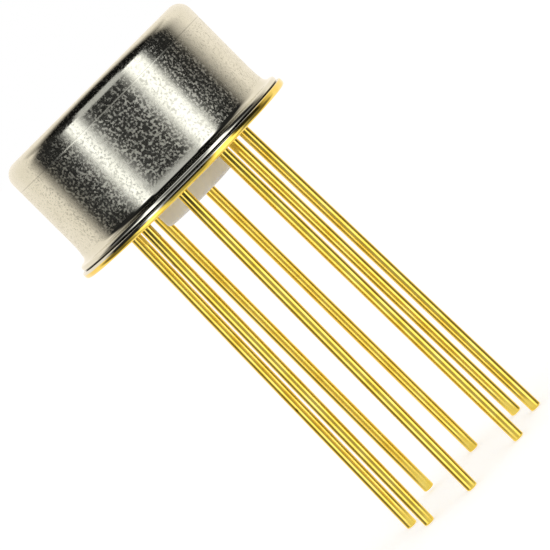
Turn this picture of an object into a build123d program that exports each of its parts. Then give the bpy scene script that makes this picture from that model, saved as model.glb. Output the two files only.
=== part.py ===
from build123d import *

import os
from math import cos, radians, sin, tan

# An eight-lead integrated circuit in a round metal can. Millimetres, +Z up through the closed top of
# the can. The origin is the middle of the standoff's underside, the plane of the board that the part
# is soldered to, and the index tab points along +Y.

# heights of the stack, from the board upwards
standoff_height = 0.71
header_flange_thickness = 0.25
cap_flange_thickness = 0.21
can_height = 4.45
platform_height = 0.85

# the drawn can
cap_radius = 4.14
cap_flange_radius = 4.50
cap_wall = 0.25
cap_crown_round = 0.55
cap_foot_round = 0.28
cap_foot_turns = (0, 30, 60, 90)  # degrees, a corner of the foot's curve at each
cap_rim_chamfer = 0.05
cap_inner_chamfer = 0.28

# how far along to its corner each handle of a cubic curve reaches when the curve follows a quarter circle
quarter_handle = 0.5523

# the header and its index tab
header_radius = 4.61
platform_radius = 3.75
platform_chamfer = 0.1
header_rim_chamfer = 0.1
tab_width = 0.80
tab_length = 0.85
tab_corner_round = 0.12
tab_root = 0.4

# the leads, and the glass beads that carry them through the header
lead_count = 8
lead_circle_radius = 5.08 / 2
lead_radius = 0.41 / 2
lead_length = 13.6
lead_bend_depth = 0.15
lead_tip_chamfer = 0.06
post_height = 0.45
bead_radius = 0.55
bead_recess = 0.05

# the chip, its solder preform and its wires
die_length = 1.5
die_width = 1.2
die_thickness = 0.28
pad_size = 0.12
pad_inset = 0.13
pad_thickness = 0.01
preform_margin = 0.1
preform_thickness = 0.04
wire_radius = 0.02
wire_sides = 6
wire_rise = 0.4
wire_knee = 0.2
wire_foot_length = 0.12
wire_foot_width = 0.07
wire_foot_thickness = 0.02

# the disc that keeps the metal base off the board
standoff_radius = 1.5
standoff_chamfer = 0.05

# how far each lead leans outward, then sideways anticlockwise, in degrees, and how much of it is cut off
lead_lean = {
    1: (2.0, -1.4, 0.1),
    2: (1.2, 0.2, 0),
    3: (1.2, -0.1, 0),
    4: (0.9, -0.3, 0),
    5: (1.4, 0.3, 0),
    6: (1.8, -0.2, 0),
    7: (1.5, -0.6, 0),
    8: (0.2, -0.6, 0),
}

header_bottom = standoff_height
flange_seam = header_bottom + header_flange_thickness
cap_flange_top = flange_seam + cap_flange_thickness
can_top = header_bottom + can_height
platform_top = flange_seam + platform_height
post_top = platform_top + post_height
die_bottom = platform_top + preform_thickness
die_top = die_bottom + die_thickness

os.makedirs("parts", exist_ok=True)


def finish(part, name):
    """Label a piece and write it as its own file."""
    part.label = name
    export_step(part, f"parts/{name}.step")


def lead_angle(number):
    """Lead 8 stands at the index tab, and the numbers run anticlockwise seen from above."""
    return 90 + number * 360 / lead_count


def lead_place(number):
    """Where the lead passes through the header."""
    angle = radians(lead_angle(number))
    return lead_circle_radius * cos(angle), lead_circle_radius * sin(angle)


def pad_place(number):
    """The bond pad at the edge or corner of the chip that faces the lead."""
    angle = radians(lead_angle(number))
    across = round(cos(angle)) * (die_length / 2 - pad_inset)
    along = round(sin(angle)) * (die_width / 2 - pad_inset)
    return across, along


# cap: one drawn cup with a rounded crown, whose foot turns outward into the welding flange
inner_radius = cap_radius - cap_wall
inner_top = can_top - cap_wall
crown_handle = cap_crown_round * (1 - quarter_handle)
foot = [
    (
        cap_radius + cap_foot_round * (1 - cos(radians(turn))),
        cap_flange_top + cap_foot_round * (1 - sin(radians(turn))),
    )
    for turn in cap_foot_turns
]
with BuildPart() as cap:
    with BuildSketch(Plane.XZ):
        with BuildLine():
            crown = Bezier(
                (cap_radius - cap_crown_round, can_top),
                (cap_radius - crown_handle, can_top),
                (cap_radius, can_top - crown_handle),
                (cap_radius, can_top - cap_crown_round),
            )
            Polyline(
                crown @ 1,
                *foot,
                (cap_flange_radius - cap_rim_chamfer, cap_flange_top),
                (cap_flange_radius, cap_flange_top - cap_rim_chamfer),
                (cap_flange_radius, flange_seam + cap_rim_chamfer),
                (cap_flange_radius - cap_rim_chamfer, flange_seam),
                (inner_radius + cap_inner_chamfer, flange_seam),
                (inner_radius, flange_seam + cap_inner_chamfer),
                (inner_radius, inner_top - cap_inner_chamfer),
                (inner_radius - cap_inner_chamfer, inner_top),
                (0, inner_top),
                (0, can_top),
                crown @ 0,
            )
        make_face()
    revolve(axis=Axis.Z)
finish(cap.part, "cap")

# header: flange and index tab stamped in one outline, with the thick platform that fills the can's foot
with BuildPart() as header:
    with BuildSketch(Plane.XY.offset(header_bottom)) as outline:
        Circle(header_radius)
        with Locations((0, header_radius - tab_root)):
            Rectangle(tab_width, tab_length + tab_root, align=(Align.CENTER, Align.MIN))
        tab_corners = outline.vertices().filter_by(lambda v: abs(abs(v.X) - tab_width / 2) < 0.01)
        fillet(tab_corners, tab_corner_round)
    extrude(amount=header_flange_thickness)
    chamfer(header.faces().sort_by(Axis.Z)[0].edges(), header_rim_chamfer)
    with BuildSketch(Plane.XY.offset(flange_seam)):
        Circle(platform_radius)
    extrude(amount=platform_height)
    chamfer(header.faces().sort_by(Axis.Z)[-1].edges(), platform_chamfer)
    with Locations(Plane.XY.offset(platform_top)):
        with PolarLocations(lead_circle_radius, lead_count):
            Hole(bead_radius)
finish(header.part, "header")

# standoff: a plain moulded disc, flat on the header and on the board
with BuildPart() as standoff:
    with BuildSketch():
        Circle(standoff_radius)
    extrude(amount=standoff_height)
    chamfer(standoff.edges().sort_by(Axis.Z)[0], standoff_chamfer)
finish(standoff.part, "standoff")


def make_lead(number):
    """A round wire, straight through the glass and bent a little just below it, with its cut end broken."""
    outward, sideways, cut_off = lead_lean[number]
    angle = radians(lead_angle(number))
    lean = Vector(cos(angle), sin(angle)) * tan(radians(outward))
    lean += Vector(-sin(angle), cos(angle)) * tan(radians(sideways))
    shank = (Vector(0, 0, -1) + lean).normalized()
    top = Vector(*lead_place(number), post_top)
    bend = Vector(top.X, top.Y, header_bottom - lead_bend_depth)
    tip = bend + shank * (lead_length - lead_bend_depth - cut_off)
    with BuildPart() as lead:
        with BuildLine():
            Polyline(top, bend, tip)
        with BuildSketch(Plane(top, z_dir=(0, 0, -1))):
            Circle(lead_radius)
        sweep(transition=Transition.RIGHT)
        chamfer(lead.edges().sort_by(Axis.Z)[0], lead_tip_chamfer)
    return lead.part


def make_bead(number):
    """A glass bead that fills the hole round the lead, a little below the metal at both ends."""
    x, y = lead_place(number)
    with BuildPart() as bead:
        with BuildSketch(Plane((x, y, header_bottom + bead_recess))):
            Circle(bead_radius)
            Circle(lead_radius, mode=Mode.SUBTRACT)
        extrude(amount=platform_top - header_bottom - 2 * bead_recess)
    return bead.part


def make_bond_wire(number):
    """A fine wire from a pad on the chip up and over to the lead's end, pressed flat where it is welded."""
    pad = Vector(*pad_place(number), die_top + pad_thickness)
    post = Vector(*lead_place(number), post_top)
    span = post - pad
    lift = Vector(0, 0, wire_radius)
    rise = Vector(0, 0, wire_rise)
    with BuildPart() as wire:
        with BuildLine() as arch:
            Polyline(
                pad + lift,
                pad + span * wire_knee + rise,
                pad + span * (1 - wire_knee) + rise,
                post + lift,
            )
        with BuildSketch(Plane(arch.line @ 0, z_dir=arch.line % 0)):
            RegularPolygon(wire_radius, wire_sides)
        sweep(transition=Transition.RIGHT)
        for foot in (pad, post):
            with BuildSketch(Plane(foot, x_dir=(span.X, span.Y, 0), z_dir=(0, 0, 1))):
                Rectangle(wire_foot_length, wire_foot_width)
            extrude(amount=wire_foot_thickness)
    return wire.part


# die_attach: the preform that solders the chip down
with BuildPart() as die_attach:
    with BuildSketch(Plane.XY.offset(platform_top)):
        Rectangle(die_length + 2 * preform_margin, die_width + 2 * preform_margin)
    extrude(amount=preform_thickness)
finish(die_attach.part, "die_attach")

# die: a sawn silicon block with a raised bond pad for each lead
with BuildPart() as die:
    with BuildSketch(Plane.XY.offset(die_bottom)):
        Rectangle(die_length, die_width)
    extrude(amount=die_thickness)
    with BuildSketch(Plane.XY.offset(die_top)):
        with Locations(*[pad_place(number) for number in lead_lean]):
            Rectangle(pad_size, pad_size)
    extrude(amount=pad_thickness)
finish(die.part, "die")

for number in lead_lean:
    finish(make_lead(number), f"lead_{number}")
    finish(make_bead(number), f"glass_seal_{number}")
    finish(make_bond_wire(number), f"bond_wire_{number}")
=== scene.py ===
from math import atan2, cos, degrees, pi, radians, sin, tan

import bmesh
import bpy
from mathutils import Matrix, Vector


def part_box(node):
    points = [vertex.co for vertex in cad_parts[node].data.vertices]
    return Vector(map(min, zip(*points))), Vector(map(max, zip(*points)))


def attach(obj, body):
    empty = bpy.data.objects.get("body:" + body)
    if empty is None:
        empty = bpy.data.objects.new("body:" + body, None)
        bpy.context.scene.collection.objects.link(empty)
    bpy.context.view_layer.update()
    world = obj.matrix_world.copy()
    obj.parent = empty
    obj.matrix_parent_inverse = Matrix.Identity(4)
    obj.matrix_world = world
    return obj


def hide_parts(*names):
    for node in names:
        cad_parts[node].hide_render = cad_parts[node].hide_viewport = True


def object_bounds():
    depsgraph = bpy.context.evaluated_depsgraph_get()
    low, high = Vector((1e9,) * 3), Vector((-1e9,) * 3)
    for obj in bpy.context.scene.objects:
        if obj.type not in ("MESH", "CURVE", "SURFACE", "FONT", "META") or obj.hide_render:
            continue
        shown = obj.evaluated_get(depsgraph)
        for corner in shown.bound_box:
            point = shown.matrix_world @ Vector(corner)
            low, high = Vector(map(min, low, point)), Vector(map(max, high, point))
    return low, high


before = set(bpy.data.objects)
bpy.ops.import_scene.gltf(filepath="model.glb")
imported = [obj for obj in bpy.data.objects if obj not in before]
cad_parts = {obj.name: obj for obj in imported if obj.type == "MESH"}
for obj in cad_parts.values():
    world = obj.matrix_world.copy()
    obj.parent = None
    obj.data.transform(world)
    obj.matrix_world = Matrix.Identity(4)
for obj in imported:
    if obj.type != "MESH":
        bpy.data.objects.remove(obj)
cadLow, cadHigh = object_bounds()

mm = 0.001
mergeDistance = 1e-8  # metres, closer points than this are one
flush = 1e-7          # points this close to a level lie on it
sharpAngle = 50       # degrees, edges above it stay sharp
scene = bpy.context.scene
scene.view_settings.view_transform = "Standard"


# small modelling helpers

def keepMesh(bm, name, material, slotName, *nodes):
    # turns the bmesh into a finished piece that stands for its nodes
    bmesh.ops.remove_doubles(bm, verts=bm.verts, dist=mergeDistance)
    bmesh.ops.recalc_face_normals(bm, faces=bm.faces)
    for face in bm.faces:
        face.smooth = True
    mesh = bpy.data.meshes.new(name)
    bm.to_mesh(mesh)
    bm.free()
    piece = bpy.data.objects.new(name, mesh)
    scene.collection.objects.link(piece)
    mesh.materials.append(material)
    mesh.set_sharp_from_angle(angle=radians(sharpAngle))
    even = piece.modifiers.new("evenShading", "WEIGHTED_NORMAL")
    even.keep_sharp = True
    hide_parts(*nodes)
    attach(piece, "root")
    return piece


def turned(bm, profile, segments):
    # turns a profile of (radius, height) in millimetres about the upright axis
    points = [bm.verts.new((r * mm, 0, z * mm)) for r, z in profile]
    edges = [bm.edges.new(pair) for pair in zip(points, points[1:])]
    bmesh.ops.spin(
        bm, geom=points + edges, cent=(0, 0, 0), axis=(0, 0, 1), angle=2 * pi,
        steps=segments, use_merge=True, use_duplicate=False,
    )
    bmesh.ops.remove_doubles(bm, verts=bm.verts, dist=mergeDistance)
    bmesh.ops.recalc_face_normals(bm, faces=bm.faces)


def roundRing(bm, radius, height, size, segments):
    # rounds the edge loop that lies within 2 micrometres of this radius and height
    def onRing(v):
        return abs(v.co.xy.length - radius * mm) < 2e-6 and abs(v.co.z - height * mm) < 2e-6

    ring = [e for e in bm.edges if onRing(e.verts[0]) and onRing(e.verts[1])]
    bmesh.ops.bevel(
        bm, geom=ring, offset=size * mm, offset_type="OFFSET", segments=segments,
        profile=0.5, affect="EDGES", clamp_overlap=False, material=-1,
    )


def moveTo(bm, matrix):
    bmesh.ops.transform(bm, matrix=matrix, verts=bm.verts)


# node helpers for the materials

def newMaterial(name):
    material = bpy.data.materials.new(name)
    material.use_nodes = True
    tree = material.node_tree
    shader = tree.nodes["Principled BSDF"]
    coords = tree.nodes.new("ShaderNodeTexCoord")
    return material, tree, shader, coords.outputs["Object"]


def mapped(tree, source, scale, turn=(0, 0, 0)):
    node = tree.nodes.new("ShaderNodeMapping")
    node.inputs["Scale"].default_value = scale
    node.inputs["Rotation"].default_value = turn
    tree.links.new(source, node.inputs["Vector"])
    return node.outputs["Vector"]


def noise(tree, source, scale, detail=2.0, roughness=0.5, distortion=0.0):
    node = tree.nodes.new("ShaderNodeTexNoise")
    node.inputs["Scale"].default_value = scale
    node.inputs["Detail"].default_value = detail
    node.inputs["Roughness"].default_value = roughness
    node.inputs["Distortion"].default_value = distortion
    tree.links.new(source, node.inputs["Vector"])
    return node.outputs["Fac"]


def ramp(tree, source, *stops):
    # stops are (position, colour or grey)
    node = tree.nodes.new("ShaderNodeValToRGB")
    band = node.color_ramp
    while len(band.elements) < len(stops):
        band.elements.new(0.5)
    for element, (position, tone) in zip(band.elements, stops):
        element.position = position
        element.color = (*tone, 1) if isinstance(tone, tuple) else (tone, tone, tone, 1)
    tree.links.new(source, node.inputs["Fac"])
    return node.outputs["Color"]


def mathNode(tree, kind, a, b=None):
    node = tree.nodes.new("ShaderNodeMath")
    node.operation = kind
    for socket, value in zip(node.inputs, (a, b)):
        if value is None:
            continue
        if isinstance(value, (int, float)):
            socket.default_value = value
        else:
            tree.links.new(value, socket)
    return node.outputs["Value"]


def between(tree, source, low, high, toLow=0.0, toHigh=1.0):
    node = tree.nodes.new("ShaderNodeMapRange")
    node.interpolation_type = "SMOOTHSTEP"
    for name, value in (("From Min", low), ("From Max", high), ("To Min", toLow), ("To Max", toHigh)):
        node.inputs[name].default_value = value
    tree.links.new(source, node.inputs["Value"])
    return node.outputs["Result"]


def bump(tree, height, distance, strength, under=None):
    node = tree.nodes.new("ShaderNodeBump")
    node.inputs["Distance"].default_value = distance
    if isinstance(strength, (int, float)):
        node.inputs["Strength"].default_value = strength
    else:
        tree.links.new(strength, node.inputs["Strength"])
    tree.links.new(height, node.inputs["Height"])
    if under is not None:
        tree.links.new(under, node.inputs["Normal"])
    return node.outputs["Normal"]


def axisOf(tree, source, axis):
    node = tree.nodes.new("ShaderNodeSeparateXYZ")
    tree.links.new(source, node.inputs["Vector"])
    return node.outputs[axis]


def radiusOf(tree, source):
    # distance from the part's upright axis
    flat = mapped(tree, source, (1, 1, 0))
    node = tree.nodes.new("ShaderNodeVectorMath")
    node.operation = "LENGTH"
    tree.links.new(flat, node.inputs[0])
    return node.outputs["Value"]


def blended(tree, kind, a, b, share):
    # a and b are colours or sockets, share is how much of b's effect there is
    node = tree.nodes.new("ShaderNodeMix")
    node.data_type = "RGBA"
    node.blend_type = kind
    for name, value in (("Factor", share), ("A", a), ("B", b)):
        if isinstance(value, bpy.types.NodeSocket):
            tree.links.new(value, node.inputs[name])
        else:
            node.inputs[name].default_value = (*value, 1) if isinstance(value, tuple) else value
    return node.outputs["Result"]


print("stage 1: frame loaded,", len(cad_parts), "nodes")


# the finishes, each with its values beside it

nickel = {
    "tones": ((0.3, (0.72, 0.71, 0.61)), (0.7, (0.78, 0.77, 0.68))),
    "cloudScale": 900,
    "grainScale": 12000,               # matt plated grains, about 0.08 mm across
    "grainDepth": 0.000020,
    "grainStrength": 0.06,
    "grainPatches": (0.44, 0.68),      # noise levels between which the polish turns matt
    "fineScale": 30000,
    "fineDepth": 0.000006,
    "fineStrength": 0.15,
    "polish": (0.04, 0.15),            # roughness of the flange, and of the wall between its grains
    "matt": 0.30,                      # what a grain adds to it
    "foot": (1.34 * mm, 1.41 * mm),    # polished below, grained above
    "crown": (4.20 * mm, 4.27 * mm),   # grained below, burnished above
    "crownGrain": 0.65,                # how much of the grain the burnishing left
    "grooveShade": (4.27 * mm, 4.30 * mm, 4.33 * mm),  # painted shade along the fine groove that the burnishing tool left
    "grooveShadeTone": 0.70,
    "seam": (0.975 * mm, 1.005 * mm),  # painted shade in the crack above the header
    "seamShadeTone": 0.12,
}


def nickelSatin():
    # satin nickel plate on the can: matt grains on a soft polish, a burnished crown, a bright flange, with
    # painted shade along the crown's groove and in the crack above the header
    material, tree, shader, where = newMaterial("nickelSatin")
    shader.inputs["Metallic"].default_value = 1.0
    grain = noise(tree, where, nickel["grainScale"], 2.0, 0.55)
    fine = noise(tree, where, nickel["fineScale"], 2.0, 0.6)
    cloud = noise(tree, where, nickel["cloudScale"], 3.0, 0.6)
    z = axisOf(tree, where, "Z")
    aboveFoot = between(tree, z, *nickel["foot"])
    belowCrown = between(tree, z, *nickel["crown"], 1.0, nickel["crownGrain"])
    wall = mathNode(tree, "MULTIPLY", aboveFoot, belowCrown)
    # painted shade: a dark ring in the base colour along the burnishing groove
    start, middle, end = nickel["grooveShade"]
    below, above = between(tree, z, start, middle), between(tree, z, middle, end, 1.0, 0.0)
    grooveShade = ramp(tree, mathNode(tree, "MULTIPLY", below, above), (0.0, 1.0), (1.0, nickel["grooveShadeTone"]))
    # painted shade: the base colour darkens in the crack above the header
    seam = ramp(tree, between(tree, z, *nickel["seam"]), (0.0, nickel["seamShadeTone"]), (1.0, 1.0))
    tone = blended(tree, "MULTIPLY", ramp(tree, cloud, *nickel["tones"]), grooveShade, 1.0)
    tone = blended(tree, "MULTIPLY", tone, seam, 1.0)
    tree.links.new(tone, shader.inputs["Base Color"])
    polish = between(tree, wall, 0.0, 1.0, *nickel["polish"])
    matt = mathNode(tree, "MULTIPLY", between(tree, grain, *nickel["grainPatches"]), wall)
    rough = mathNode(tree, "ADD", polish, mathNode(tree, "MULTIPLY", matt, nickel["matt"]))
    tree.links.new(rough, shader.inputs["Roughness"])
    grained = mathNode(tree, "MULTIPLY", wall, nickel["grainStrength"])
    finely = mathNode(tree, "MULTIPLY", wall, nickel["fineStrength"])
    coarse = bump(tree, grain, nickel["grainDepth"], grained)
    both = bump(tree, fine, nickel["fineDepth"], finely, coarse)
    tree.links.new(both, shader.inputs["Normal"])
    return material


gold = {
    "tones": ((0.32, (0.87, 0.60, 0.08)), (0.50, (0.94, 0.69, 0.12)), (0.72, (0.97, 0.75, 0.18))),
    "cloudScale": 1400,
    "bumpDepth": 0.000004,
    "bumpStrength": 0.2,
    "wireRough": (0.10, 0.22),
    "drawLines": (7, 0.25, 1),          # round the wire and along it
    "specks": ((0.17, (0.30, 0.24, 0.16)), (0.20, (1.0, 1.0, 1.0))),
    "speckScale": 1700,
    "speckShare": 0.8,
    "headerRough": (0.04, 0.08),
    "grainScale": 9000,
    "weld": (0.825 * mm, 0.850 * mm),   # above this the weld has left the header's edge silver
    "weldColour": (0.76, 0.75, 0.66),
    "weldRagged": 0.05 * mm,            # how far its border wanders above that
    "weldRaggedScale": 700,
    "weldRise": (0.013, 0.008),         # how fast the border climbs to both sides, and to the right
    "weldEdge": (4.62 * mm, 4.68 * mm),
    "seam": (0.935 * mm, 0.955 * mm),   # painted shade in the crack under the can
    # the painted shade stops at this radius
    "seamShadeEdge": (4.53 * mm, 4.56 * mm),
    "seamShadeTone": 0.12,
}


def goldWire():
    # gold plate on drawn wire, with faint lines along its length and a few dark specks
    material, tree, shader, where = newMaterial("goldWire")
    shader.inputs["Metallic"].default_value = 1.0
    cloud = noise(tree, where, gold["cloudScale"], 3.0, 0.6)
    uv = tree.nodes.new("ShaderNodeUVMap")
    uv.uv_map = "along"
    lines = noise(tree, mapped(tree, uv.outputs["UV"], gold["drawLines"]), 1.0, 1.0, 0.5)
    tree.links.new(between(tree, lines, 0.36, 0.64, *gold["wireRough"]), shader.inputs["Roughness"])
    specks = ramp(tree, noise(tree, where, gold["speckScale"], 1.0, 0.4), *gold["specks"])
    tone = blended(tree, "MULTIPLY", ramp(tree, cloud, *gold["tones"]), specks, gold["speckShare"])
    tree.links.new(tone, shader.inputs["Base Color"])
    tree.links.new(bump(tree, lines, gold["bumpDepth"], gold["bumpStrength"]), shader.inputs["Normal"])
    return material


def goldHeader():
    # gold plate on the stamped header, silver where the weld ran over its upper edge, with painted shade
    # in the crack under the can
    material, tree, shader, where = newMaterial("goldHeader")
    shader.inputs["Metallic"].default_value = 1.0
    cloud = noise(tree, where, gold["cloudScale"], 3.0, 0.6)
    grain = noise(tree, where, gold["grainScale"], 3.0, 0.6)
    x, z, away = axisOf(tree, where, "X"), axisOf(tree, where, "Z"), radiusOf(tree, where)
    ragged = noise(tree, where, gold["weldRaggedScale"], 2.0, 0.5)
    border = mathNode(tree, "MULTIPLY", ragged, gold["weldRagged"])
    both, right = gold["weldRise"]
    border = mathNode(tree, "ADD", border, mathNode(tree, "MULTIPLY", mathNode(tree, "ABSOLUTE", x), both))
    border = mathNode(tree, "ADD", border, mathNode(tree, "MULTIPLY", x, right))
    # the index tab stays gold, and the seam's painted shade stays off the edge that stands out past the
    # can
    nearWeld = between(tree, away, *gold["weldEdge"], 1.0, 0.0)
    nearSeamShade = between(tree, away, *gold["seamShadeEdge"], 1.0, 0.0)
    weld = between(tree, mathNode(tree, "SUBTRACT", z, border), *gold["weld"])
    weld = mathNode(tree, "MULTIPLY", weld, nearWeld)
    # painted shade: the base colour darkens in the crack under the can
    seam = mathNode(tree, "MULTIPLY", between(tree, z, *gold["seam"]), nearSeamShade)
    tone = blended(tree, "MIX", ramp(tree, cloud, *gold["tones"]), gold["weldColour"], weld)
    tone = blended(tree, "MULTIPLY", tone, ramp(tree, seam, (0.0, 1.0), (1.0, gold["seamShadeTone"])), 1.0)
    tree.links.new(tone, shader.inputs["Base Color"])
    tree.links.new(between(tree, cloud, 0.3, 0.7, *gold["headerRough"]), shader.inputs["Roughness"])
    tree.links.new(bump(tree, grain, gold["bumpDepth"], gold["bumpStrength"]), shader.inputs["Normal"])
    return material


plastic = {
    "tones": ((0.3, (0.84, 0.83, 0.79)), (0.7, (0.90, 0.89, 0.86))),
    "flowScale": 1200,
    "skinScale": 14000,
    "skinDepth": 0.000008,
    "rough": (0.38, 0.55),
    "glowThrough": (0.0004, 0.0004, 0.0003),  # metres that red, green and blue light spread inside
}


def whitePlastic():
    # pale moulded plastic with a faint flow and a matt skin
    material, tree, shader, where = newMaterial("whitePlastic")
    shader.inputs["Subsurface Weight"].default_value = 0.15
    shader.inputs["Subsurface Radius"].default_value = plastic["glowThrough"]
    shader.inputs["Subsurface Scale"].default_value = 1.0
    flow = noise(tree, where, plastic["flowScale"], 4.0, 0.6, 1.0)
    skin = noise(tree, where, plastic["skinScale"], 2.0, 0.6)
    tree.links.new(ramp(tree, flow, *plastic["tones"]), shader.inputs["Base Color"])
    tree.links.new(between(tree, skin, 0.3, 0.7, *plastic["rough"]), shader.inputs["Roughness"])
    tree.links.new(bump(tree, skin, plastic["skinDepth"], 0.4), shader.inputs["Normal"])
    return material


glass = {
    "tones": ((0.3, (0.012, 0.018, 0.022)), (0.7, (0.045, 0.060, 0.066))),
    "cloudScale": 2600,
    "bubbleScale": 7000,
    "bubbleDepth": 0.000006,
    "rough": (0.08, 0.22),
}


def sealingGlass():
    # dark fused glass with cloudy patches and small bubbles
    material, tree, shader, where = newMaterial("sealingGlass")
    shader.inputs["IOR"].default_value = 1.54
    shader.inputs["Coat Weight"].default_value = 0.4
    shader.inputs["Coat Roughness"].default_value = 0.06
    cloud = noise(tree, where, glass["cloudScale"], 4.0, 0.6, 0.8)
    bubbles = tree.nodes.new("ShaderNodeTexVoronoi")
    bubbles.inputs["Scale"].default_value = glass["bubbleScale"]
    tree.links.new(where, bubbles.inputs["Vector"])
    tree.links.new(ramp(tree, cloud, *glass["tones"]), shader.inputs["Base Color"])
    tree.links.new(between(tree, cloud, 0.3, 0.7, *glass["rough"]), shader.inputs["Roughness"])
    pits = ramp(tree, bubbles.outputs["Distance"], (0.0, 0.0), (0.25, 1.0))
    tree.links.new(bump(tree, pits, glass["bubbleDepth"], 0.4), shader.inputs["Normal"])
    return material


chip = {
    "fields": ((0.09, 0.11, 0.20, 1), (0.14, 0.10, 0.22, 1)),
    "tracks": (0.62, 0.60, 0.55, 1),
    "trackScale": 9000,
    "trackWidth": 0.03,
    "trackDepth": 0.000002,
    "hazeScale": 5000,
    "rough": (0.12, 0.30),
}


def siliconChip():
    # polished silicon, blue-grey and violet fields in a fine grid of metal tracks
    material, tree, shader, where = newMaterial("siliconChip")
    shader.inputs["Metallic"].default_value = 0.7
    shader.inputs["Coat Weight"].default_value = 0.5
    tracks = tree.nodes.new("ShaderNodeTexBrick")
    tracks.inputs["Scale"].default_value = chip["trackScale"]
    tracks.inputs["Mortar Size"].default_value = chip["trackWidth"]
    tracks.inputs["Color1"].default_value = chip["fields"][0]
    tracks.inputs["Color2"].default_value = chip["fields"][1]
    tracks.inputs["Mortar"].default_value = chip["tracks"]
    tree.links.new(where, tracks.inputs["Vector"])
    tree.links.new(tracks.outputs["Color"], shader.inputs["Base Color"])
    haze = noise(tree, where, chip["hazeScale"], 3.0)
    tree.links.new(between(tree, haze, 0.3, 0.7, *chip["rough"]), shader.inputs["Roughness"])
    tree.links.new(bump(tree, tracks.outputs["Fac"], chip["trackDepth"], 0.5), shader.inputs["Normal"])
    return material


solder = {
    "tones": ((0.3, (0.45, 0.33, 0.14)), (0.7, (0.75, 0.60, 0.30))),
    "wrinkleScale": 8000,
    "wrinkleDepth": 0.000010,
    "rough": (0.25, 0.50),
}


def goldSolder():
    # the alloy under the chip: dull gold, wrinkled where it froze
    material, tree, shader, where = newMaterial("goldSolder")
    shader.inputs["Metallic"].default_value = 1.0
    wrinkle = noise(tree, where, solder["wrinkleScale"], 4.0, 0.7, 1.5)
    tree.links.new(ramp(tree, wrinkle, *solder["tones"]), shader.inputs["Base Color"])
    tree.links.new(between(tree, wrinkle, 0.3, 0.7, *solder["rough"]), shader.inputs["Roughness"])
    tree.links.new(bump(tree, wrinkle, solder["wrinkleDepth"], 0.6), shader.inputs["Normal"])
    return material


bondWire = {
    "tones": ((0.3, (0.72, 0.72, 0.73)), (0.7, (0.86, 0.86, 0.87))),
    "drawnScale": 22000,
    "drawnDepth": 0.000003,
    "rough": (0.20, 0.38),
}


def bondMetal():
    # fine aluminium wire, softly drawn
    material, tree, shader, where = newMaterial("bondMetal")
    shader.inputs["Metallic"].default_value = 1.0
    drawn = noise(tree, where, bondWire["drawnScale"], 3.0, 0.6)
    tree.links.new(ramp(tree, drawn, *bondWire["tones"]), shader.inputs["Base Color"])
    tree.links.new(between(tree, drawn, 0.3, 0.7, *bondWire["rough"]), shader.inputs["Roughness"])
    tree.links.new(bump(tree, drawn, bondWire["drawnDepth"], 0.4), shader.inputs["Normal"])
    return material


finishes = {
    "nickel": nickelSatin(),
    "gold_plate": goldHeader(),
    "gold_wire": goldWire(),
    "sealing_glass": sealingGlass(),
    "white_plastic": whitePlastic(),
    "gold_solder": goldSolder(),
    "silicon": siliconChip(),
    "bond_metal": bondMetal(),
}
print("stage 2: materials made")


# the can: one drawn cup with a burnished crown and a turned-out welding flange

can = {
    "segments": 144,
    "wallRadius": 4.14,
    "flangeHeight": 0.21,
    "wallThickness": 0.25,
    "crownRound": (0.50, 12),  # every round is its size and its segments
    "creaseDrop": 0.88,       # the burnished crown ends this far below the top
    "creaseSize": 0.004,
    # the crease from above to below: how far over its middle, and the share of its size outward
    "creaseShape": ((0.12, 0), (0.045, 1), (0.015, 0.6), (-0.02, -1), (-0.07, -0.5), (-0.14, 0)),
    # how the wall opens towards the flange: height over it, and how far outward
    "flare": ((0.80, 0), (0.55, 0.004), (0.42, 0.013), (0.29, 0.030), (0, 0.085)),
    "footRound": (0.175, 10),
    "rimRound": (0.090, 6),
    "innerFootRound": (0.25, 4),
    "innerTopRound": (0.25, 6),
}


def makeCan():
    low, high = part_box("cap")
    top, bottom, flangeRadius = high.z / mm, low.z / mm, high.x / mm
    flangeTop = bottom + can["flangeHeight"]
    wall, inner = can["wallRadius"], can["wallRadius"] - can["wallThickness"]
    innerTop = top - can["wallThickness"]
    crease = top - can["creaseDrop"]
    foot = wall + can["flare"][-1][1]
    profile = [
        (0, top),
        (wall, top),
        *[(wall + can["creaseSize"] * share, crease + over) for over, share in can["creaseShape"]],
        *[(wall + outward, flangeTop + over) for over, outward in can["flare"]],
        (flangeRadius, flangeTop),
        (flangeRadius, bottom),
        (inner, bottom),
        (inner, innerTop),
        (0, innerTop),
    ]
    bm = bmesh.new()
    turned(bm, profile, can["segments"])
    roundRing(bm, wall, top, *can["crownRound"])
    roundRing(bm, foot, flangeTop, *can["footRound"])
    roundRing(bm, flangeRadius, flangeTop, *can["rimRound"])
    roundRing(bm, flangeRadius, bottom, *can["rimRound"])
    roundRing(bm, inner, bottom, *can["innerFootRound"])
    roundRing(bm, inner, innerTop, *can["innerTopRound"])
    keepMesh(bm, "canShell", finishes["nickel"], "nickel", "cap")


makeCan()


# the header: flange, index tab and platform, drilled for eight glass beads

header = {
    "segments": 144,
    "flangeThickness": 0.25,
    "platformRadius": 3.75,
    "platformRound": (0.10, 4),
    "lowRound": (0.10, 6),    # the stamped lower edge is well rounded
    "highRound": (0.055, 5),  # the edge that the can is welded to
    "outerFrom": 4.2,         # what lies further out belongs to the flange or the tab
    "tabWidth": 0.80,
    "tabCorner": (0.12, 6),
    "holeRadius": 0.55,
    "holeSegments": 40,
    "holeCircle": 2.54,
    "holeRound": (0.02, 2),
    "drillDepth": 3,
    "sharpAngle": 20,
}


def leadAngle(number):
    # lead 8 stands at the tab and the numbers run anticlockwise seen from above
    return radians(90 + number * 45)


def leadPlace(number):
    angle = leadAngle(number)
    return Vector((cos(angle), sin(angle), 0)) * header["holeCircle"] * mm


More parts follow.
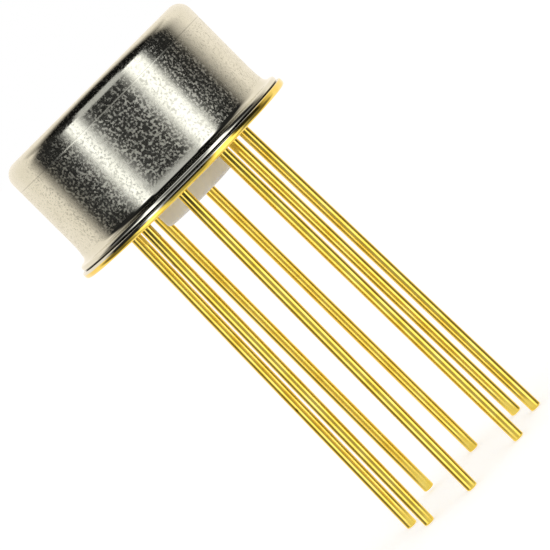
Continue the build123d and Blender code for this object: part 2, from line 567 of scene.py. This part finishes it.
def makeHeader():
    low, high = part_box("header")
    radius, bottom, top, tabEnd = -low.x / mm, low.z / mm, high.z / mm, high.y
    seam = bottom + header["flangeThickness"]
    bm = bmesh.new()
    turned(bm, [
        (0, top),
        (header["platformRadius"], top),
        (header["platformRadius"], seam),
        (radius, seam),
        (radius, bottom),
        (0, bottom),
    ], header["segments"])
    half, outer = header["tabWidth"] / 2 * mm, header["outerFrom"] * mm
    rim = []
    for face in bm.faces:
        middle = face.calc_center_median()
        atTab = middle.xy.length > outer and abs(middle.x) < half and middle.y > 0
        if abs(face.normal.z) < 0.1 and atTab:
            rim.append(face)
    grown = bmesh.ops.extrude_face_region(bm, geom=rim)
    bmesh.ops.delete(bm, geom=rim, context="FACES")
    tips = [v for v in grown["geom"] if isinstance(v, bmesh.types.BMVert)]
    widest = max(abs(v.co.x) for v in tips)
    for vert in tips:
        vert.co.x *= half / widest
        vert.co.y = tabEnd
    upright = [
        e for e in bm.edges
        if all(abs(v.co.y - tabEnd) < flush and abs(abs(v.co.x) - half) < flush for v in e.verts)
    ]
    size, steps = header["tabCorner"]
    bmesh.ops.bevel(
        bm, geom=upright, offset=size * mm, segments=steps, profile=0.5, affect="EDGES", material=-1,
    )
    for level, (size, steps) in ((bottom, header["lowRound"]), (seam, header["highRound"])):
        around = [
            e for e in bm.edges
            if all(abs(v.co.z - level * mm) < flush and v.co.xy.length > outer for v in e.verts)
            and any(abs(f.normal.z) < 0.1 for f in e.link_faces)
        ]
        bmesh.ops.bevel(
            bm, geom=around, offset=size * mm, segments=steps, profile=0.5,
            affect="EDGES", clamp_overlap=False, material=-1,
        )
    roundRing(bm, header["platformRadius"], top, *header["platformRound"])
    # each flat end becomes one face, so that the drilling leaves no slivers in it
    for level in (bottom, top):
        flat = [f for f in bm.faces if all(abs(v.co.z - level * mm) < flush for v in f.verts)]
        bmesh.ops.dissolve_faces(bm, faces=flat, use_verts=False)
    piece = keepMesh(bm, "headerBase", finishes["gold_plate"], "gold_plate", "header")
    drill(piece, bottom, top)


def drill(piece, bottom, top):
    # the lead holes are cut with rods, and then their rims are broken
    hole = header["holeRadius"] * mm
    bm = bmesh.new()
    for number in lead["lean"]:
        place = leadPlace(number)
        place.z = (bottom + top) / 2 * mm
        bmesh.ops.create_cone(
            bm, cap_ends=True, segments=header["holeSegments"], radius1=hole, radius2=hole,
            depth=header["drillDepth"] * mm, matrix=Matrix.Translation(place),
        )
    rods = bpy.data.meshes.new("rods")
    bm.to_mesh(rods)
    bm.free()
    cutter = bpy.data.objects.new("rods", rods)
    scene.collection.objects.link(cutter)
    cut = piece.modifiers.new("drill", "BOOLEAN")
    cut.operation = "DIFFERENCE"
    cut.solver = "EXACT"
    cut.object = cutter
    piece.modifiers.move(len(piece.modifiers) - 1, 0)
    bpy.context.view_layer.update()
    graph = bpy.context.evaluated_depsgraph_get()
    piece.modifiers["evenShading"].show_viewport = False
    graph.update()
    drilled = bpy.data.meshes.new_from_object(piece.evaluated_get(graph), depsgraph=graph)
    piece.modifiers["evenShading"].show_viewport = True
    piece.modifiers.remove(cut)
    bpy.data.objects.remove(cutter)
    bm = bmesh.new()
    bm.from_mesh(drilled)
    bmesh.ops.remove_doubles(bm, verts=bm.verts, dist=mergeDistance)
    rims = []
    for edge in bm.edges:
        flat = abs(edge.verts[0].co.z - edge.verts[1].co.z) < flush
        for number in lead["lean"]:
            centre = leadPlace(number).xy
            # the faceted rods leave the rim within 4 micrometres of its circle
            if flat and all(abs((v.co.xy - centre).length - hole) < 4e-6 for v in edge.verts):
                rims.append(edge)
    size, steps = header["holeRound"]
    bmesh.ops.bevel(
        bm, geom=rims, offset=size * mm, segments=steps, profile=0.5, affect="EDGES", material=-1,
    )
    for face in bm.faces:
        face.smooth = True
    bm.to_mesh(piece.data)
    bm.free()
    piece.data.set_sharp_from_angle(angle=radians(header["sharpAngle"]))


# the leads: drawn wire, straight through the glass, each leaning its own way below it

lead = {
    "radius": 0.205,
    "segments": 28,
    "tipRound": 0.06,
    "tipAngles": (90, 60, 30, 0),
    "topBreak": 0.02,
    "length": 13.6,
    "shankRuns": 6,
    "bendDepth": 0.15,
    "bendHalf": 0.10,         # the bend takes this far to each side of its middle
    "headerBottom": 0.71,
    "top": 2.26,
    "mapStretch": 0.5,        # how the map of the drawn lines runs down the wire
    "mapShift": (3.7, 11.3),  # times the lead's number, so that no two are alike
    # degrees outward, degrees sideways anticlockwise, millimetres cut off
    "lean": {
        1: (2.0, -1.4, 0.1),
        2: (1.2, 0.2, 0),
        3: (1.2, -0.1, 0),
        4: (0.9, -0.3, 0),
        5: (1.4, 0.3, 0),
        6: (1.8, -0.2, 0),
        7: (1.5, -0.6, 0),
        8: (0.2, -0.6, 0),
    },
}


def makeLead(number):
    outward, sideways, cutOff = lead["lean"][number]
    angle, up = leadAngle(number), Vector((0, 0, 1))
    lean = Vector((cos(angle), sin(angle), 0)) * tan(radians(outward))
    lean += Vector((-sin(angle), cos(angle), 0)) * tan(radians(sideways))
    shank = (lean - up).normalized()
    place, wide = leadPlace(number), lead["radius"] * mm
    bend = place + Vector((0, 0, (lead["headerBottom"] - lead["bendDepth"]) * mm))
    tip = bend + shank * (lead["length"] - lead["bendDepth"] - cutOff) * mm
    start = place + Vector((0, 0, lead["top"] * mm))
    # rings from the cut tip upwards: where, which way the wire runs, and how wide it is
    rings = []
    for turn in lead["tipAngles"]:
        back, narrower = 1 - sin(radians(turn)), 1 - cos(radians(turn))
        size = lead["tipRound"] * mm
        rings.append((tip - shank * size * back, -shank, wide - size * narrower))
    for step in range(1, lead["shankRuns"]):
        rings.append((tip.lerp(bend, step / lead["shankRuns"]), -shank, wide))
    reach = lead["bendHalf"] * mm
    rings.append((bend + shank * reach, -shank, wide))
    rings.append((bend, (up - shank).normalized(), wide))
    rings.append((bend + up * reach, up, wide))
    rings.append((start - up * lead["topBreak"] * mm, up, wide))
    rings.append((start, up, wide - lead["topBreak"] * mm))
    bm = bmesh.new()
    wireMap = bm.loops.layers.uv.new("along")
    # the flat end closes the wire at its tip, and each ring is drawn out of the one before
    ringVerts = bmesh.ops.create_circle(bm, cap_ends=True, segments=lead["segments"], radius=1.0)["verts"]
    ringEdges = list(bm.edges)
    lastSpot, lastTurn = Vector((0, 0, 0)), Matrix.Identity(3)
    for index, (spot, way, radius) in enumerate(rings):
        if index:
            grown = bmesh.ops.extrude_edge_only(bm, edges=ringEdges)["geom"]
            ringVerts = [g for g in grown if isinstance(g, bmesh.types.BMVert)]
            ringEdges = [
                g for g in grown
                if isinstance(g, bmesh.types.BMEdge) and all(v in ringVerts for v in g.verts)
            ]
        turn = up.rotation_difference(way).to_matrix()
        for vert in ringVerts:
            flat = lastTurn.inverted() @ (vert.co - lastSpot)
            vert.co = turn @ (Vector((flat.x, flat.y, 0)).normalized() * radius) + spot
        lastSpot, lastTurn = spot, turn
    bmesh.ops.holes_fill(bm, edges=[e for e in bm.edges if e.is_boundary], sides=0)

    def turnShareAt(point):
        # which share of a turn round the wire's middle line the point lies at
        middle = place if point.z > bend.z else bend + shank * ((bend.z - point.z) / -shank.z)
        return atan2(point.y - middle.y, point.x - middle.x) / (2 * pi)

    # the map runs round the wire one way and down it the other
    for face in bm.faces:
        faceShare = turnShareAt(face.calc_center_median())
        for loop in face.loops:
            share = turnShareAt(loop.vert.co)
            share -= round(share - faceShare)
            down = loop.vert.co.z / mm * lead["mapStretch"]
            loop[wireMap].uv = (share + number * lead["mapShift"][0], down + number * lead["mapShift"][1])
    keepMesh(bm, f"leadWire_{number}", finishes["gold_wire"], "gold_wire", f"lead_{number}")


# the glass beads: each climbs a little up its wire and up the wall of its hole

bead = {
    "segments": 40,
    "climb": 0.03,
    "curve": 0.10,     # how wide the climbing part is
    "bend": (0.4, 0.7),  # shares of width and climb where its slope changes
}


def makeBeads():
    wire, hole = lead["radius"], header["holeRadius"]
    climb, curve = bead["climb"], bead["curve"]
    part, share = bead["bend"]
    for number in lead["lean"]:
        node = f"glass_seal_{number}"
        low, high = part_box(node)
        bottom, top = low.z / mm, high.z / mm
        bm = bmesh.new()
        turned(bm, [
            (wire, top),
            (wire + curve * part, top - climb * share),
            (wire + curve, top - climb),
            (hole - curve, top - climb),
            (hole - curve * part, top - climb * share),
            (hole, top),
            (hole, bottom),
            (hole - curve * part, bottom + climb * share),
            (hole - curve, bottom + climb),
            (wire + curve, bottom + climb),
            (wire + curve * part, bottom + climb * share),
            (wire, bottom),
            (wire, top),
        ], bead["segments"])
        centre = (low + high) / 2
        moveTo(bm, Matrix.Translation((centre.x, centre.y, 0)))
        keepMesh(bm, f"glassBead_{number}", finishes["sealing_glass"], "sealing_glass", node)


makeHeader()
for number in lead["lean"]:
    makeLead(number)
makeBeads()


# the standoff: a pale moulded disc under the header

standoff = {"segments": 96, "lowerRound": (0.12, 6), "upperRound": (0.03, 3), "draft": 0.02}


def makeStandoff():
    low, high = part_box("standoff")
    radius, bottom, top = high.x / mm, low.z / mm, high.z / mm
    bm = bmesh.new()
    turned(bm, [
        (0, top), (radius, top), (radius - standoff["draft"], bottom), (0, bottom),
    ], standoff["segments"])
    roundRing(bm, radius, top, *standoff["upperRound"])
    roundRing(bm, radius - standoff["draft"], bottom, *standoff["lowerRound"])
    keepMesh(bm, "standoffDisc", finishes["white_plastic"], "white_plastic", "standoff")


makeStandoff()


# the chip, its solder and its wires stay as the frame has them

inside = {"die": "silicon", "die_attach": "gold_solder"}
for number in lead["lean"]:
    inside[f"bond_wire_{number}"] = "bond_metal"
for node, slotName in inside.items():
    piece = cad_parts[node]
    piece.data.materials.clear()
    piece.data.materials.append(finishes[slotName])
print("stage 3: pieces made")


# floor, white surroundings, and the cards and soft boxes that the metal shows

studio = {
    "centre": 3.0,            # height of the dome's middle
    "reach": 36.0,            # and its radius
    "turn": 8.15,             # the camera stands this far round
    "fineness": (180, 120),   # of the dome, round it and up it
    "floorRadius": 4000.0,
    "floorTone": 0.80,
    "floorGlow": 0.40,
    "worldLight": 0.80,
    "tint": (1.00, 0.92, 0.81),   # of what stands behind and beside the part
    "back": 1.08,
    # light against azimuth from the camera, level with the can: the white back, a soft box on the
    # left, a wider one on the right, and dark between them
    "ring": [
        (-180, 1.08), (-103, 1.00), (-86, 0.02),
        (-54, 0.02), (-46, 0.35), (-40, 1.65), (-32, 1.35), (-24, 0.20), (-16, 0.02),
        (18, 0.02), (26, 0.30), (34, 1.65), (48, 1.60), (54, 0.20), (59, 0.02),
        (88, 0.02), (101, 0.60), (120, 1.05), (180, 1.08),
    ],
    # and lower down, where the leads look
    "lowRing": [
        (-180, 1.08), (-116, 1.08), (-106, 0.40), (-100, 0.18),
        (-74, 0.18), (-62, 0.45), (-54, 1.20), (-46, 1.75), (-34, 1.75), (-27, 1.00), (-18, 0.42),
        (18, 0.42), (27, 1.00), (34, 1.85), (50, 1.85), (58, 1.10), (66, 0.35), (76, 0.18),
        (100, 0.18), (108, 0.40), (118, 1.08), (180, 1.08),
    ],
    "lowFrom": (-44, -6.6),       # the elevations between which the lower one holds
    "below": 0.85,                # the pale floor, further down
    "ringTop": (22, 30),          # how high the boxes reach, left and right
    "panel": (-32, 28, 9, 43, 0.57),  # a dim card in front: left, right, low and high edge, and light
    "dark": (0.022, 0.006),       # above the lights in front, and overhead
    "overheadFrom": 46,
    "backFrom": 88,               # the back begins this far round to each side
    "backTop": (84, 34),          # it fades out at this elevation, over this many degrees
    "backAside": (60, 10),        # and towards the front, over so many degrees round and up
    "backLeast": 0.02,
    # soft lamps for the matt pieces: azimuth from the camera, elevation, power
    "lamps": {"keySoft": (42, 35, 0.010), "fillSoft": (-30, 8, 0.012)},
    "lampDistance": 120,
    "lampSize": 60,
}


def whiteToView(tree, dim, bright=1.0):
    # the background is white to the camera, in metal and through glass
    path = tree.nodes.new("ShaderNodeLightPath")
    seen = mathNode(tree, "MAXIMUM", path.outputs["Is Camera Ray"], path.outputs["Is Glossy Ray"])
    seen = mathNode(tree, "MAXIMUM", seen, path.outputs["Is Transmission Ray"])
    return between(tree, seen, 0.0, 1.0, dim, bright)


def makeFloor():
    material = bpy.data.materials.new("paleFloor")
    material.use_nodes = True
    tree = material.node_tree
    tree.nodes.clear()
    matt = tree.nodes.new("ShaderNodeBsdfDiffuse")
    tone = studio["floorTone"]
    matt.inputs["Color"].default_value = (tone, tone, tone, 1)
    glow = tree.nodes.new("ShaderNodeEmission")
    tree.links.new(whiteToView(tree, 0.0, studio["floorGlow"]), glow.inputs["Strength"])
    both = tree.nodes.new("ShaderNodeAddShader")
    tree.links.new(matt.outputs[0], both.inputs[0])
    tree.links.new(glow.outputs[0], both.inputs[1])
    # seen from under the floor, nothing is in the way
    clear = tree.nodes.new("ShaderNodeBsdfTransparent")
    side = tree.nodes.new("ShaderNodeNewGeometry")
    pick = tree.nodes.new("ShaderNodeMixShader")
    tree.links.new(side.outputs["Backfacing"], pick.inputs[0])
    tree.links.new(both.outputs[0], pick.inputs[1])
    tree.links.new(clear.outputs[0], pick.inputs[2])
    out = tree.nodes.new("ShaderNodeOutputMaterial")
    tree.links.new(pick.outputs[0], out.inputs["Surface"])
    bm = bmesh.new()
    bmesh.ops.create_circle(bm, cap_ends=True, segments=64, radius=studio["floorRadius"] * mm)
    bmesh.ops.recalc_face_normals(bm, faces=bm.faces)
    for face in bm.faces:
        if face.normal.z < 0:
            face.normal_flip()
    moveTo(bm, Matrix.Translation((0, 0, cadLow.z)))
    mesh = bpy.data.meshes.new("floor")
    bm.to_mesh(mesh)
    bm.free()
    floor = bpy.data.objects.new("floor", mesh)
    floor.visible_glossy = False
    mesh.materials.append(material)
    scene.collection.objects.link(floor)


def along(table, x):
    for (x0, y0), (x1, y1) in zip(table, table[1:]):
        if x0 <= x <= x1:
            return y0 + (y1 - y0) * (x - x0) / (x1 - x0)


def lightAt(azimuth, elevation):
    # how bright the surroundings are there, and whether they are the tinted back
    front = abs(azimuth) < studio["backFrom"]
    lowEnd, lowTop = studio["lowFrom"]
    if elevation < lowEnd:
        return (studio["below"], False) if front else (studio["back"], True)
    if elevation < lowTop:
        return along(studio["lowRing"], azimuth), not front
    level = along(studio["ring"], azimuth)
    if not front:
        top, fade = studio["backTop"]
        roundFade, upFade = studio["backAside"]
        aside = (abs(azimuth) - studio["backFrom"]) / roundFade
        under = (studio["overheadFrom"] - elevation) / upFade
        share = min(1, (top - elevation) / fade) * min(1, max(aside, under))
        return level * max(studio["backLeast"], share), True
    inRing = elevation < studio["ringTop"][azimuth > 0]
    left, right, bottom, top, light = studio["panel"]
    if left < azimuth < right and bottom < elevation < top:
        return max(light, level if inRing else 0), False
    return (level if inRing else studio["dark"][elevation > studio["overheadFrom"]]), False


def makeCards():
    # a dome of lights and dark cards that only reflections see, so it neither hides nor shades the part
    bm = bmesh.new()
    across, upward = studio["fineness"]
    bmesh.ops.create_uvsphere(bm, u_segments=across, v_segments=upward, radius=studio["reach"] * mm)
    shade = bm.verts.layers.float_color.new("light")
    for vert in bm.verts:
        azimuth = (degrees(atan2(vert.co.x, -vert.co.y)) - studio["turn"] + 180) % 360 - 180
        elevation = degrees(atan2(vert.co.z, vert.co.xy.length))
        light, tinted = lightAt(azimuth, elevation)
        colour = studio["tint"] if tinted else (1, 1, 1)
        vert[shade] = (*[light * part for part in colour], 1)
    moveTo(bm, Matrix.Translation((0, 0, studio["centre"] * mm)))
    mesh = bpy.data.meshes.new("cards")
    bm.to_mesh(mesh)
    bm.free()
    material = bpy.data.materials.new("cardLight")
    material.use_nodes = True
    tree = material.node_tree
    tree.nodes.clear()
    shown = tree.nodes.new("ShaderNodeAttribute")
    shown.attribute_name = "light"
    glow = tree.nodes.new("ShaderNodeEmission")
    tree.links.new(shown.outputs["Color"], glow.inputs["Color"])
    out = tree.nodes.new("ShaderNodeOutputMaterial")
    tree.links.new(glow.outputs[0], out.inputs["Surface"])
    mesh.materials.append(material)
    cards = bpy.data.objects.new("cards", mesh)
    scene.collection.objects.link(cards)
    cards.visible_camera = False
    cards.visible_diffuse = False
    cards.visible_shadow = False
    cards.visible_transmission = False


def makeWorld():
    world = bpy.data.worlds.new("whiteRoom")
    scene.world = world
    world.use_nodes = True
    tree = world.node_tree
    back = tree.nodes["Background"]
    back.inputs["Color"].default_value = (1, 1, 1, 1)
    tree.links.new(whiteToView(tree, studio["worldLight"]), back.inputs["Strength"])


def makeLamp(name, azimuth, elevation, power):
    # metal doesn't show these, but the cards
    data = bpy.data.lights.new(name, "AREA")
    data.shape = "SQUARE"
    data.size = studio["lampSize"] * mm
    data.energy = power
    lamp = bpy.data.objects.new(name, data)
    scene.collection.objects.link(lamp)
    a, e = radians(azimuth + studio["turn"]), radians(elevation)
    away = Vector((sin(a) * cos(e), -cos(a) * cos(e), sin(e)))
    lamp.location = away * studio["lampDistance"] * mm
    lamp.rotation_euler = away.to_track_quat("Z", "Y").to_euler()
    lamp.visible_camera = False
    lamp.visible_glossy = False


makeFloor()
makeCards()
makeWorld()
for name, values in studio["lamps"].items():
    makeLamp(name, *values)
print("stage 4: studio made")


# the camera: nearly level, a little to the right of the front, rolled as the photograph is

camera = {
    "azimuth": 8.14,       # degrees round to the right
    "elevation": 4.80,
    "distance": 105.64,
    "lens": 207.7,
    "aimHeight": -3.596,   # the point looked at, over the board's plane and right of the axis
    "aimRight": -0.117,
    "roll": -45.0,
}


def makeCamera():
    data = bpy.data.cameras.new("view")
    data.sensor_width = 36
    data.lens = camera["lens"]
    data.clip_start = 0.001
    data.clip_end = 50
    view = bpy.data.objects.new("view", data)
    scene.collection.objects.link(view)
    a, e = radians(camera["azimuth"]), radians(camera["elevation"])
    back = Vector((sin(a) * cos(e), -cos(a) * cos(e), sin(e)))
    right = Vector((cos(a), sin(a), 0))
    aim = Vector((0, 0, camera["aimHeight"] * mm)) + right * camera["aimRight"] * mm
    view.location = aim + back * camera["distance"] * mm
    facing = (-back).to_track_quat("-Z", "Y").to_matrix()
    rolled = Matrix.Rotation(radians(camera["roll"]), 3, "Z")
    view.rotation_euler = (facing @ rolled).to_euler()
    scene.camera = view


makeCamera()
